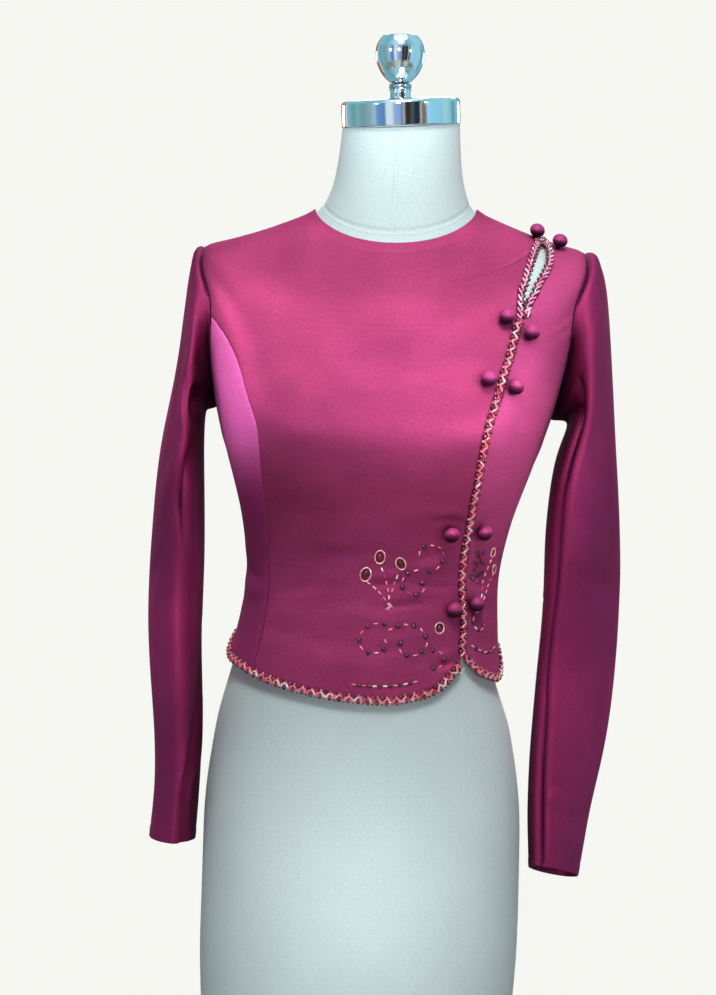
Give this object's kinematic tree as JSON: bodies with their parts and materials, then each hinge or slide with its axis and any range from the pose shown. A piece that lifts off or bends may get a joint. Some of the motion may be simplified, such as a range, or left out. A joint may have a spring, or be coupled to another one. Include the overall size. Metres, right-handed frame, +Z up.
{
  "type": "beaded silk blouse on dress form",
  "caption": "Fitted long-sleeved silk satin blouse with beaded side opening, ball buttons and shaped hem, standing on a limbless dress form with a polished neck cap.",
  "frame": {"origin": "centre of the dress form's flat base, on the surface that it stands on", "axes": "+Z up along the form, -Y towards the blouse's front, +X towards the wearer's left sleeve, the side with the beaded opening"},
  "size_m": [0.4413, 0.2464, 0.9309],
  "materials": {
    "satin": "dull silk satin, magenta to plum, soft sheen",
    "bead_braid": "rose metallic and dark red glass bugle beads sewn on the cloth",
    "covered_button": "satin-covered ball button",
    "form_jersey": "cool white stretched linen-look jersey, matt",
    "polished_cap": "polished chrome"
  },
  "bodies": {
    "root": {"front_main": "satin", "side_front_right": "satin", "front_left": "satin", "back": "satin", "sleeve_right": "satin", "sleeve_left": "satin", "trim_opening": "bead_braid", "trim_keyhole": "bead_braid", "trim_hem_front": "bead_braid", "trim_hem_left": "bead_braid", "trim_hem_back": "bead_braid", "button_shoulder_inner": "covered_button", "button_shoulder_outer": "covered_button", "button_chest_inner": "covered_button", "button_chest_outer": "covered_button", "button_bust_inner": "covered_button", "button_bust_outer": "covered_button", "button_waist_inner": "covered_button", "button_waist_outer": "covered_button", "button_hem_inner": "covered_button", "button_hem_outer": "covered_button", "form_body": "form_jersey", "neck_cap": "polished_cap", "knob_stem": "polished_cap", "knob_ball": "polished_cap"}
  },
  "joints": []
}
